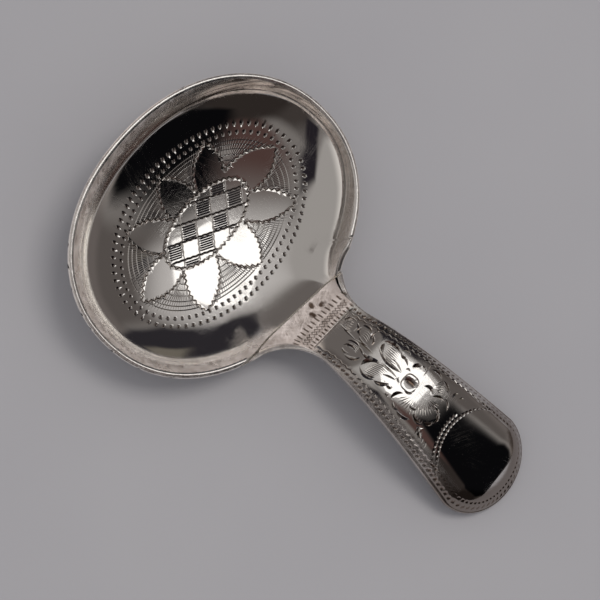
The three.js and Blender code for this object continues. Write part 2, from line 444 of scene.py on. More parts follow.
def newMaterial(name):  # and the function that adds its nodes
    material = bpy.data.materials.new(name)
    material.use_nodes = True
    material.node_tree.nodes.clear()
    return material, partial(node, material.node_tree)


# Sterling silver, raised and planished, then rubbed bright for two hundred years: mirror-like in the
# field, satin with wear on the rim and the neck, fine scratches everywhere, tarnish left in the cuts,
# and the same dark colour painted over the handle's borders as shade.
# Lengths and gaps are in millimetres, scales in turns to the metre, and scratches are drawn wider
# apart and bolder than real ones, so that they show.
sterling = {
    "colour": "#f3f0ec",
    "worn": "#f6eae2",
    # the dark of tarnish in the cuts, also painted over the handle's borders as shade
    "tarnishAndShade": "#6f5e52",
    "tarnishFrom": (0.07, 0.02),    # how deep a cut starts to keep it, in bright places and in brown ones
    "tarnishOver": 0.08,
    "roughness": (0.04, 0.36),
    "mottle": {"scale": 420.0, "from": (0.3, 0.7), "range": (0.7, 1.35)},
    "scratches": {"turns": (12, 47, 84, 121, 158), "length": 14.0, "gap": 0.55, "thick": 0.008, "seed": 0},
    "patches": {"scale": 120.0, "more": 17.0, "range": (0.52, 0.66)},
    "scratchRough": 0.12,
    "scratchBump": 0.0011,
    "brushing": {"turns": (34, 70, 139), "length": 7.0, "gap": 0.3, "thick": 0.04, "seed": 7},
    "brushDeep": 14.0,
    "scatter": {"brushed": 0.5, "scale": 700.0, "from": (0.35, 0.65), "range": (0.06, 0.32)},
}


def scratches(add, lines, number):  # long thin lines one way, from a stretched noise
    place = add("ShaderNodeTexCoord").outputs["Object"]
    seed = lines["seed"] + number    # moves each way of scratches to its own part of the noise
    turn = math.radians(lines["turns"][number])
    swung = add("ShaderNodeMapping", Vector=place, Rotation=(0, 0, turn), Scale=(1, 1, 0.2),
                Location=(seed * 0.013, seed * 0.007, 0))
    stretch = (1 / (lines["length"] * mm), 1 / (lines["gap"] * mm), 1 / (lines["length"] * mm))
    stretched = add("ShaderNodeVectorMath", times, in0=swung, in1=stretch)
    noise = add("ShaderNodeTexNoise", Vector=stretched, Scale=1.0, Detail=2.0, Roughness=0.7)
    off = add("ShaderNodeMath", {"operation": "SUBTRACT"}, in0=noise, in1=0.5)
    near = add("ShaderNodeMath", {"operation": "ABSOLUTE"}, in0=off)
    return add("ShaderNodeMapRange", Value=near, From=(0.0, lines["thick"]), To=(1.0, 0.0))


def makeSterling(name):
    material, add = newMaterial(name)
    wear = add("ShaderNodeAttribute", {"attribute_name": "wear"}).outputs["Fac"]
    recess = add("ShaderNodeAttribute", {"attribute_name": "recess"}).outputs["Fac"]
    place = add("ShaderNodeTexCoord").outputs["Object"]
    mottle, patches, scatter = sterling["mottle"], sterling["patches"], sterling["scatter"]
    scratched = brushed = 0.0
    for number in range(len(sterling["scratches"]["turns"])):
        # each way of scratches only in patches
        scale = patches["scale"] + patches["more"] * number
        patch = add("ShaderNodeTexNoise", Vector=place, Scale=scale, Detail=1.0)
        some = add("ShaderNodeMapRange", Value=patch, From=patches["range"])
        line = scratches(add, sterling["scratches"], number)
        line = add("ShaderNodeMath", times, in0=line, in1=some)
        scratched = add("ShaderNodeMath", greater, in0=scratched, in1=line)
    # worn places are brushed all over
    for number in range(len(sterling["brushing"]["turns"])):
        line = scratches(add, sterling["brushing"], number)
        brushed = add("ShaderNodeMath", greater, in0=brushed, in1=line)
    streaks = add("ShaderNodeMath", times, in0=brushed, in1=wear)
    lines = add("ShaderNodeMath", timesPlus, in0=streaks, in1=sterling["brushDeep"], in2=scratched)
    bump = add("ShaderNodeBump", Height=lines, Strength=1.0, Distance=sterling["scratchBump"] * mm)
    cloud = add("ShaderNodeTexNoise", Vector=place, Scale=mottle["scale"], Detail=4.0, Roughness=0.65)
    uneven = add("ShaderNodeMapRange", Value=cloud, From=mottle["from"], To=mottle["range"])
    satin = add("ShaderNodeMapRange", {"clamp": False}, Value=wear, To=sterling["roughness"])
    rough = add("ShaderNodeMath", times, in0=satin, in1=uneven)
    rough = add("ShaderNodeMath", timesPlus, in0=scratched, in1=sterling["scratchRough"], in2=rough)
    warm = add("ShaderNodeMix", inColour, in0=wear, in6=linear(sterling["colour"]),
               in7=linear(sterling["worn"]))
    # darkened by the painted attribute: tarnish in the cuts, and painted shade over the handle's borders
    colour = add("ShaderNodeMix", inColour, in0=recess, in6=warm.outputs[2],
                 in7=linear(sterling["tarnishAndShade"]))
    # worn places scatter some light besides mirroring, most along the brushing
    patchy = add("ShaderNodeTexNoise", Vector=place, Scale=scatter["scale"], Detail=1.0, Roughness=0.5)
    spread = add("ShaderNodeMapRange", Value=patchy, From=scatter["from"], To=scatter["range"])
    spread = add("ShaderNodeMath", times, in0=spread, in1=wear)
    scattered = add("ShaderNodeMath", timesPlus, in0=streaks, in1=scatter["brushed"], in2=spread)
    mirrors = add("ShaderNodeMapRange", Value=scattered, To=(1.0, 0.0))
    shader = add("ShaderNodeBsdfPrincipled", Base_Color=colour.outputs[2], Metallic=mirrors,
                 Roughness=rough, Normal=bump)
    add("ShaderNodeOutputMaterial", Surface=shader)
    return material


# Hard solder, filed flush: a little yellower and duller than the sheet, with fine pits
solder = {"colour": "#ebe6db", "pits": 2500.0, "roughness": (0.18, 0.4)}


def makeSolder(name):
    material, add = newMaterial(name)
    place = add("ShaderNodeTexCoord").outputs["Object"]
    pits = add("ShaderNodeTexNoise", Vector=place, Scale=solder["pits"], Detail=3.0)
    rough = add("ShaderNodeMapRange", Value=pits, To=solder["roughness"])
    shader = add("ShaderNodeBsdfPrincipled", Base_Color=linear(solder["colour"]), Metallic=1.0,
                 Roughness=rough)
    add("ShaderNodeOutputMaterial", Surface=shader)
    return material


polishedSterling = makeSterling("polishedSterlingSilver")
filedSolder = makeSolder("filedSilverSolder")
print("materials made")


def loopPlaces(inset):
    # plan outline of the dish, round from the seam's left end to its right, then back along the seam
    ends = seamY(np.array([1.0, -1.0]), inset, seamX)
    angles = dishAngle(seamX + seamSlope * ends, ends, inset)
    angle = np.linspace(angles[0], angles[1] + 2 * math.pi, fineness["rim"] + 1)
    stretch = rimStretch(angle, inset)
    x = stretch * (dish["halfLength"] - inset) * np.cos(angle)
    y = stretch * (dish["halfWidth"] - inset) * np.sin(angle)
    y[0], y[-1] = ends
    x[0], x[-1] = seamX + seamSlope * ends
    back = seamY(np.linspace(-1, 1, fineness["seam"] + 1)[1:-1], inset, seamX)
    return np.r_[x, seamX + seamSlope * back], np.r_[y, back]


# Each cut of the graver is a path in plan with half its width and its depth at every point
def arc(a, b, bulge=0.0, count=9):  # from a to b, bulging left by a share of its length
    a, b = np.array(a, float), np.array(b, float)
    t = np.linspace(0, 1, count)[:, None]
    aside = np.array([a[1] - b[1], b[0] - a[0]])
    return a + (b - a) * t + 4 * bulge * t * (1 - t) * aside


def cut(path, width, depth, lean=0.0, swelling=True, blunt=0.7):  # lean moves its deepest line aside
    path = np.array(path, float)
    swell = np.sin(math.pi * np.linspace(0, 1, len(path))) ** blunt if swelling else np.ones(len(path))
    swell[0] = swell[-1] = 0
    return {"path": path, "half": swell * width / 2, "depth": swell * depth, "lean": lean}


def dash(a, b, width, depth):
    return cut([a, mix(np.array(a, float), np.array(b, float), 0.5), b], width, depth)


def measured(path):  # how far along a path each of its points is
    return np.r_[0, np.cumsum(np.hypot(*np.diff(path, axis=0).T))]


def placesAt(path, at):
    steps = measured(path)
    return stack(np.interp(at, steps, path[:, 0]), np.interp(at, steps, path[:, 1]))


def sideways(path):  # one millimetre to the left, at each point of a path
    tangent = np.gradient(path, axis=0)
    tangent /= np.maximum(np.linalg.norm(tangent, axis=1), 1e-9)[:, None]
    return stack(-tangent[:, 1], tangent[:, 0])


def wriggle(path, pitch, swing, width, depth):  # the graver walked from side to side
    path = np.array(path, float)
    length = measured(path)[-1]
    count = max(int(round(length / pitch * 2)), 2)
    line = placesAt(path, np.linspace(0, length, count + 1))
    side = np.where(np.arange(count + 1) % 2 == 0, swing, -swing)[:, None]
    return cut(line + side * sideways(line), width, depth, swelling=False)


def clipped(path, kept, step=0.1, shortest=0.4):  # the stretches of a path where kept is true
    path = np.array(path, float)
    length = measured(path)[-1]
    points = placesAt(path, np.linspace(0, length, max(int(length / step), 2) + 1))
    inside = np.r_[False, kept(points), False]
    starts = np.flatnonzero(inside[1:] & ~inside[:-1])
    stops = np.flatnonzero(~inside[1:] & inside[:-1])
    return [points[a:b] for a, b in zip(starts, stops) if (b - a) * step > shortest]


def thinned(path, keepEvery):  # fewer points, and always the last
    return path[np.unique(np.r_[np.arange(0, len(path), keepEvery), len(path) - 1])]


def toSegments(points, from_, to):  # share of the way along each, how far off it, and on which side
    along = to - from_
    gap = points[:, None, :] - from_[None]
    length = np.maximum((along ** 2).sum(axis=1), 1e-12)
    share = np.clip((gap * along).sum(axis=2) / length, 0, 1)
    off = gap - share[:, :, None] * along
    side = np.sign(along[:, 0] * gap[:, :, 1] - along[:, 1] * gap[:, :, 0])
    return share, np.hypot(off[:, :, 0], off[:, :, 1]), side


def cutDepth(points, cuts):  # how far down the cuts take each point of a plan
    deepest = np.zeros(len(points))
    for one in cuts:
        path, half, depth = one["path"], one["half"], one["depth"]
        reach = half.max() + 0.01
        inBox = (points > path.min(axis=0) - reach) & (points < path.max(axis=0) + reach)
        near = np.flatnonzero(inBox.all(axis=1))
        if not len(near):
            continue
        share, distance, side = toSegments(points[near], path[:-1], path[1:])
        width = np.maximum(mix(half[:-1], half[1:], share), 1e-6)
        across = np.clip(side * distance / width, -1, 1)
        profile = np.minimum((1 - across) / (1 - one["lean"]), (1 + across) / (1 + one["lean"]))
        deep = (mix(depth[:-1], depth[1:], share) * profile).max(axis=1)
        deepest[near] = np.maximum(deepest[near], deep)
    return deepest


def insideLoop(points, loopX, loopY, margin=0.0, batch=2000):  # batches keep the arrays small
    x0, y0 = loopX, loopY
    x1, y1 = np.roll(loopX, -1), np.roll(loopY, -1)
    keep = np.zeros(len(points), dtype=bool)
    for start in range(0, len(points), batch):
        px, py = points[start:start + batch].T[:, :, None]
        crosses = (y0 > py) != (y1 > py)
        at = x0 + (py - y0) * (x1 - x0) / np.where(y1 == y0, 1, y1 - y0)
        odd = (crosses & (px < at)).sum(axis=1) % 2 == 1
        clear = np.hypot(px - x0, py - y0).min(axis=1) > margin
        keep[start:start + batch] = odd & clear
    return keep


def triangulate(loopX, loopY, cuts, bands):
    # plan mesh inside a loop: the cuts' edges and deepest lines, the close points under punched rows,
    # and a loose field between them
    spacing, cell = fineness["field"], fineness["cell"]
    columns = np.arange(loopX.min(), loopX.max(), spacing)
    rows = np.arange(loopY.min(), loopY.max(), spacing * math.sqrt(0.75))
    gridX, gridY = np.meshgrid(columns, rows)
    gridX = gridX + (np.arange(len(rows)) % 2)[:, None] * spacing / 2
    field = stack(gridX.ravel(), gridY.ravel())
    field = field[insideLoop(field, loopX, loopY, spacing * 0.5)]
    taken = {(int(x // cell), int(y // cell)) for x, y in bands}
    field = np.array([p for p in field if (int(p[0] // cell), int(p[1] // cell)) not in taken])
    places = [stack(loopX, loopY), field, bands]
    edges = [(i, (i + 1) % len(loopX)) for i in range(len(loopX))]
    count = sum(len(p) for p in places)
    for one in cuts:
        path, half = one["path"], one["half"]
        normal, size = sideways(path), len(path)
        places.append(path + normal * (half * one["lean"])[:, None])
        edges += [(count + i, count + i + 1) for i in range(size - 1)]
        ends = (count, count + size - 1)
        count += size
        for side in (1.0, -1.0):
            chain = [ends[0], *range(count, count + size - 2), ends[1]]
            edges += zip(chain[:-1], chain[1:])
            places.append((path + normal * (half * side)[:, None])[1:-1])
            count += size - 2
    result = delaunay_2d_cdt([Vector(p) for p in np.vstack(places).tolist()], edges, [], 1, 1e-6)
    return np.array([tuple(v) for v in result[0]]), [tuple(f) for f in result[2]]


# Flower in the dish: eight plain petals with wriggled outlines round a chequered middle, on a ground
# of fine fans, inside two rows of punched marks. Places are in millimetres of plan.
flower = {
    "middle": (-0.25, 0.75),
    "outerRow": (11.54, 17.49),
    "innerRow": (10.28, 16.24),
    "heart": {"middle": (-0.6, 0.85), "half": (3.95, 8.45)},
    "corners": [(1.2, 9.1), (3.15, 4.8), (3.4, -1.6), (1.5, -6.6), (-2.1, -6.9), (-4.4, -2.5), (-4.7, 3.1),
                (-3.7, 8.3)],
    "tips": [(7.1, 12.4), (9.3, 1.8), (7.8, -9.1), (0.0, -14.6), (-8.3, -9.1), (-10.1, 0.6), (-8.7, 9.3),
             (-0.6, 16.3)],
    "bulge": 0.15,
    "through": 14,          # long enough for a line to run right through
    "outline": {"pitch": 0.86, "swing": 0.15, "width": 0.34, "depth": 0.12},
    "lattice": {
        "towards": [(0.475, 0.88), (0.73, -0.68)],
        "pitch": (2.5, 2.42),
        "offset": (-1.9, -1.3),
        "lines": [{"pitch": 0.9, "swing": 0.04, "width": 0.36, "depth": 0.11},
                  {"pitch": 0.9, "swing": 0.04, "width": 0.22, "depth": 0.07}],
        "each": 3,          # lines each way from the middle one
        "margin": 0.1,
    },
    "chequer": {"width": 0.26, "depth": 0.07},
    "chequerMargin": 0.35,
    "chequerClear": (0.08, 0.07),   # shares of a field left plain along the lattice's lines
    "shading": {"width": 0.17, "depth": 0.045},
    "shadingPitch": 0.33,
    "shadingReach": 6,
    "fans": {"count": 22, "start": 1.1, "rings": (0.57, 0.635, 0.7, 0.76, 0.82, 0.87, 0.915),
             "every": 6},
    "fanMargins": (0.25, 0.55),     # kept clear round the heart and inside the inner row
}


def ellipse(middle, half, start=0.0, stop=2 * math.pi, count=181):
    t = np.linspace(start, stop, count)
    return stack(middle[0] + half[0] * np.cos(t), middle[1] + half[1] * np.sin(t))


def petalOutlines():
    corners, tips = flower["corners"], flower["tips"]
    petals = []
    for i, tip in enumerate(tips):
        first, second = corners[i], corners[(i + 1) % len(corners)]
        petals.append((arc(first, tip, flower["bulge"]), arc(second, tip, -flower["bulge"])))
    return petals


def flowerCuts():
    heart, lattice, shading, fans = flower["heart"], flower["lattice"], flower["shading"], flower["fans"]
    petals = petalOutlines()
    loops = [np.vstack([left, right[::-1][1:]]) for left, right in petals]
    cuts = [wriggle(side, **flower["outline"]) for petal in petals for side in petal]
    cuts.append(wriggle(ellipse(heart["middle"], heart["half"]), **flower["outline"]))

    def inHeart(points, margin=0.0):
        share = (points - heart["middle"]) / (np.array(heart["half"]) - margin)
        return np.hypot(share[:, 0], share[:, 1]) < 1

    def through(place, towards, kept):  # what is kept of a long line
        return clipped([place - towards * flower["through"], place + towards * flower["through"]], kept)

    # chequers in the heart: two sets of lines, every other field shaded
    towards = np.array(lattice["towards"])
    normals = [np.array([towards[0][1], -towards[0][0]]), np.array([-towards[1][1], towards[1][0]])]
    for k in (0, 1):
        for line in range(-lattice["each"], lattice["each"] + 1):
            place = normals[k] * (lattice["offset"][k] + line * lattice["pitch"][k])
            for piece in through(place, towards[k], lambda p: inHeart(p, lattice["margin"])):
                cuts.append(wriggle(piece, **lattice["lines"][k]))

    def shaded(points):
        steps = [(points @ normals[k] - lattice["offset"][k]) / lattice["pitch"][k] for k in (0, 1)]
        clear = [np.abs(s - np.round(s)) > least for s, least in zip(steps, flower["chequerClear"])]
        odd = (np.floor(steps[0]) + np.floor(steps[1])) % 2 == 1
        return odd & inHeart(points, flower["chequerMargin"]) & clear[0] & clear[1]

    for line in np.arange(-flower["shadingReach"], flower["shadingReach"], flower["shadingPitch"]):
        for piece in through(normals[0] * line, towards[0], shaded):
            cuts.append(cut(piece[[0, 1, len(piece) // 2, -2, -1]], swelling=False, **flower["chequer"]))

    # fans on the ground between the petals
    middle, inner = np.array(flower["middle"]), np.array(flower["innerRow"])
    heartMargin, rowMargin = flower["fanMargins"]

    def ground(points):
        share = (points - middle) / (inner - rowMargin)
        free = ~inHeart(points, -heartMargin) & (np.hypot(share[:, 0], share[:, 1]) < 1)
        for loop in loops:
            free &= ~insideLoop(points, *loop.T)
        return free

    tips = np.array(flower["tips"])
    for i, corner in enumerate(np.array(flower["corners"])):
        sides = [tips[i - 1] - corner, tips[i] - corner]
        turns = np.unwrap([math.atan2(s[1], s[0]) for s in sides])
        for turn in np.linspace(turns[0], turns[1], fans["count"] + 2)[1:-1]:
            ray = np.array([math.cos(turn), math.sin(turn)])
            for piece in clipped([corner + ray * fans["start"], corner + ray * flower["through"]], ground):
                cuts.append(dash(piece[0], piece[-1], **shading))
    for share in fans["rings"]:
        for piece in clipped(ellipse(middle, inner * share), ground):
            cuts.append(cut(thinned(piece, fans["every"]), swelling=False, **shading))
    return cuts


# Rows of marks made with a punch: a path in plan, how many marks, and the punch's own shape. The
# mesh under a row has lanes of close points, each with a fine number of them to a mark.
def lanes(apart, each):
    return [apart * i for i in range(-each, each + 1)]


def markRow(name, path, marks, **more):
    return {"name": name, "path": path, "marks": marks, "closed": False, "fine": 5, "lanes": lanes(0.15, 2),
            "length": 0.2, "turn": 0, "width": 0.44, "depth": 0.16, **more}


def evenPath(path, count, closed):  # places at even distances along it
    return placesAt(path, np.linspace(0, measured(path)[-1], count, endpoint=not closed))


def bandPoints(rows):  # the close points
    bands = []
    for row in rows:
        middle = evenPath(row["path"], row["marks"] * row["fine"], row["closed"])
        bands += [middle + sideways(middle) * offset for offset in row["lanes"]]
    return np.vstack(bands)


dishRows = [
    markRow("outerMarks", ellipse(flower["middle"], flower["outerRow"], count=361), 82, closed=True, fine=9,
            lanes=lanes(0.12, 3), length=0.22, turn=75, width=0.54, depth=0.17),
    markRow("innerMarks", ellipse(flower["middle"], flower["innerRow"], count=361), 78, closed=True, fine=9,
            lanes=lanes(0.12, 3), length=0.18, turn=75, width=0.5, depth=0.16),
]


def makePunchTree():
    # marks of a punch: short lines stand across or along a path, and the sheet sinks around them
    tree = bpy.data.node_groups.new("punchedRow", "GeometryNodeTree")
    add = partial(node, tree)
    for name, kind in (("Sheet", "Geometry"), ("Row", "Object"), ("Marks", "Int"), ("Length", "Float"),
                       ("Turn", "Float"), ("Width", "Float"), ("Depth", "Float"), ("Metal", "Material")):
        tree.interface.new_socket(name=name, in_out="INPUT", socket_type="NodeSocket" + kind)
    tree.interface.new_socket(name="Sheet", in_out="OUTPUT", socket_type="NodeSocketGeometry")
    given = add("NodeGroupInput").outputs
    row = add("GeometryNodeObjectInfo", {"transform_space": "ORIGINAL"}, Object=given["Row"])
    spread = add("GeometryNodeCurveToPoints", {"mode": "COUNT"}, Curve=row.outputs["Geometry"],
                 Count=given["Marks"])
    aim = add("FunctionNodeAlignRotationToVector", {"axis": "X"}, Vector=spread.outputs["Tangent"])
    spin = add("FunctionNodeAxisAngleToRotation", Axis=(0, 0, 1), Angle=given["Turn"])
    turn = add("FunctionNodeRotateRotation", {"rotation_space": "LOCAL"}, Rotation=aim, Rotate_By=spin)
    half = add("ShaderNodeMath", times, in0=given["Length"], in1=-0.5)
    begin = add("ShaderNodeCombineXYZ", X=half)
    reach = add("ShaderNodeCombineXYZ", X=given["Length"])
    line = add("GeometryNodeMeshLine", Count=2, Start_Location=begin, Offset=reach)
    marks = add("GeometryNodeInstanceOnPoints", Points=spread, Instance=line, Rotation=turn)
    lines = add("GeometryNodeRealizeInstances", Geometry=marks)
    # distances are measured in plan, so the paths lie at height 0
    place = add("ShaderNodeSeparateXYZ", Vector=add("GeometryNodeInputPosition"))
    flat = add("ShaderNodeCombineXYZ", X=place.outputs["X"], Y=place.outputs["Y"])
    nearest = add("GeometryNodeProximity", {"target_element": "EDGES"}, Geometry=lines,
                  Sample_Position=flat)
    dip = add("ShaderNodeMapRange", {"interpolation_type": "SMOOTHSTEP"},
              Value=nearest.outputs["Distance"], From=(0.0, given["Width"]), To=(given["Depth"], 0.0))
    down = add("ShaderNodeMath", times, in0=dip, in1=-1.0)
    shift = add("ShaderNodeCombineXYZ", Z=down)
    # only the upper face is struck, and the underside stays plain
    facing = add("ShaderNodeSeparateXYZ", Vector=add("GeometryNodeInputNormal"))
    upward = add("FunctionNodeCompare", {"operation": "GREATER_THAN"}, in0=facing.outputs["Z"], in1=0.0)
    sunk = add("GeometryNodeSetPosition", Geometry=given["Sheet"], Selection=upward, Offset=shift)
    real = add("GeometryNodeRealizeInstances", Geometry=sunk)
    metal = add("GeometryNodeSetMaterial", Geometry=real, Material=given["Metal"])
    add("NodeGroupOutput", Sheet=metal)
    return tree


punchTree = makePunchTree()


def placesOf(mesh):
    places = np.empty(len(mesh.vertices) * 3)
    mesh.vertices.foreach_get("co", places)
    return places.reshape(-1, 3)


def punch(piece, rows, height, material):
    # strikes every row into the piece, and gives how far each point went down
    before = placesOf(piece.data)
    paths = []
    for row in rows:
        places = evenPath(row["path"], row["marks"] * fineness["row"], row["closed"])
        laid = laidDown(stack(places, height(*places.T))) * mm * (1, 1, 0)
        curve = bpy.data.curves.new(row["name"], "CURVE")
        curve.dimensions = "3D"
        spline = curve.splines.new("POLY")
        spline.points.add(len(laid) - 1)
        spline.points.foreach_set("co", stack(laid, np.ones(len(laid))).ravel())
        spline.use_cyclic_u = row["closed"]
        path = bpy.data.objects.new(row["name"], curve)
        scene.collection.objects.link(path)
        paths.append(path)
        struck = piece.modifiers.new(row["name"], "NODES")
        struck.node_group = punchTree
        values = {"Row": path, "Marks": row["marks"], "Metal": material, "Turn": math.radians(row["turn"]),
                  "Length": row["length"] * mm, "Width": row["width"] / 2 * mm, "Depth": row["depth"] * mm}
        for item in punchTree.interface.items_tree:
            if item.in_out == "INPUT" and item.name in values:
                struck[item.identifier] = values[item.name]
    graph = bpy.context.evaluated_depsgraph_get()
    made = bpy.data.meshes.new_from_object(piece.evaluated_get(graph), depsgraph=graph)
    made.name = piece.name
    piece.modifiers.clear()
    piece.data = made
    for path in paths:
        bpy.data.objects.remove(path)
    return np.abs(placesOf(made) - before).sum(axis=1) / mm


def evened(rows, reach):  # each row becomes the average of those within reach of it
    padded = np.vstack([np.repeat(rows[:1], reach, axis=0), rows, np.repeat(rows[-1:], reach, axis=0)])
    sums = np.vstack([np.zeros(3), np.cumsum(padded, axis=0)])
    evenedRows = sums[2 * reach + 1:] - sums[:-2 * reach - 1]
    return evenedRows / np.maximum(np.linalg.norm(evenedRows, axis=1), 1e-12)[:, None]


# A shell is a sheet in the making: its points on the level spoon, their normals where the surface
# gives them, how rubbed they are, and its faces
def newShell(loopX, loopY, cuts, rows, height, wear, softStep=0.01):  # starts with the upper face
    plan, faces = triangulate(loopX, loopY, cuts, bandPoints(rows))
    deep = cutDepth(plan, cuts)
    shell = {"points": [], "normals": [], "wear": [], "faces": faces, "deep": deep}
    normals = surfaceNormals(height, *plan.T, softStep)
    addPoints(shell, stack(plan, height(*plan.T) - deep), wear(plan), normals)
    return shell


def addPoints(shell, points, wear, normals=None):
    shell["points"].append(points)
    shell["wear"].append(np.broadcast_to(wear, len(points)))
    shell["normals"].append(np.zeros_like(points) if normals is None else normals)


def counted(shell):  # the number its next point gets
    return sum(len(points) for points in shell["points"])


def makeEngraved(name, shell, rows, height):  # also gives its points, and how far down each went
    points = np.vstack(shell["points"])
    deep = np.r_[shell["deep"], np.zeros(len(points) - len(shell["deep"]))]
    piece = makePiece(name, points, shell["faces"], polishedSterling)
    punched = punch(piece, rows, height, polishedSterling)
    giveNormals(piece, pitched(np.vstack(shell["normals"])), deep, punched)
    paint(piece, "wear", np.concatenate(shell["wear"]))
    return piece, points, deep + punched


def dishWear(share, x, y):  # the band inside the rim
    across = y / dish["halfWidth"]
    fadeFrom, fadeOver = rubbed["wallFade"]
    beyondX, withinY, neckOver = rubbed["neckFree"]
    atNeck = smooth((x - beyondX) / neckOver) * smooth((withinY - np.abs(y)) / neckOver)
    sooner, over, power = rubbed["bandEdge"]
    start = mix(*rubbed["bandFrom"], smooth(rubbed["bandFade"] - across))
    most = mix(*rubbed["wall"], smooth((fadeFrom - across) / fadeOver))
    return most * (1 - atNeck) * smooth((share - start + sooner) / over) ** power


def bowlShell():
    innerX, innerY = loopPlaces(dish["rimLand"])
    outerX, outerY = loopPlaces(0)
    size = len(innerX)
    around = fineness["rim"] + 1
    wallShares = 1 - np.linspace(0, 1, fineness["rings"]) ** fineness["wallCrowd"] * dish["wallShare"]
    lowest = wallShares[-1]
    shell = newShell(innerX * lowest, innerY * lowest, flowerCuts(), dishRows, dishTop, lambda plan: 0.0,
                     dish["softStep"])
    faces = shell["faces"]
    # the wall inside, from the rim down to the triangulated floor
    first = counted(shell)
    for share in wallShares:
        x, y = innerX * share, innerY * share
        nearly = min(share, dish["justInside"])
        step = max(dish["softStep"] * (1 - share) / (1 - lowest), dish["leastStep"])
        normals = surfaceNormals(dishTop, innerX * nearly, innerY * nearly, step)
        normals[:around] = evened(normals[:around], dish["evenedOver"])
        addPoints(shell, stack(x, y, dishTop(x, y)), dishWear(share, innerX, innerY), normals)
    faces += gridFaces(first, len(wallShares), size)
    # over the rim: chamfer, land, worn round
    first = counted(shell)
    angle = dishAngle(outerX, outerY)
    onSeam = np.arange(size) >= around
    nick = 0
    for at, deep in dish["nicks"]:
        nick = nick + deep * np.exp(-((np.degrees(angle) - at) / dish["nickSpread"]) ** 2)
    seamTop, seamUnder = dishTop(innerX, innerY), dishUnder(outerX, outerY)
    for share, drop in rimSteps:
        worn = share * (1 - nick * share / dish["rimLand"])
        z = np.where(onSeam, mix(seamTop, seamUnder, share), rimTop(angle) - drop)
        addPoints(shell, stack(mix(innerX, outerX, worn), mix(innerY, outerY, worn), z),
                  rubbed["rim"] if drop else rubbed["land"])
    faces += gridFaces(first, len(rimSteps), size, flip=True)
    # underneath, in to the middle
    first = counted(shell)
    underShares = np.linspace(1, 0, fineness["under"])[:-1] ** fineness["underCrowd"]
    for share in underShares:
        x, y = outerX * share, outerY * share
        addPoints(shell, stack(x, y, dishUnder(x, y)), rubbed["under"])
    faces += gridFaces(first, len(underShares), size, flip=True)
    last = counted(shell)
    addPoints(shell, np.zeros((1, 3)), rubbed["middleUnder"])
    faces += [(last - size + (i + 1) % size, last - size + i, last) for i in range(size)]
    return shell


engravedBowl, bowlPoints, bowlSunk = makeEngraved("engravedBowl", bowlShell(), dishRows, dishTop)
# in the dish the attribute holds only the tarnish left in the cuts and marks
paint(engravedBowl, "recess", smooth((bowlSunk - sterling["tarnishFrom"][0]) / sterling["tarnishOver"]))
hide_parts("bowl")
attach(engravedBowl, "root")
print("bowl made", len(bowlPoints), "points")


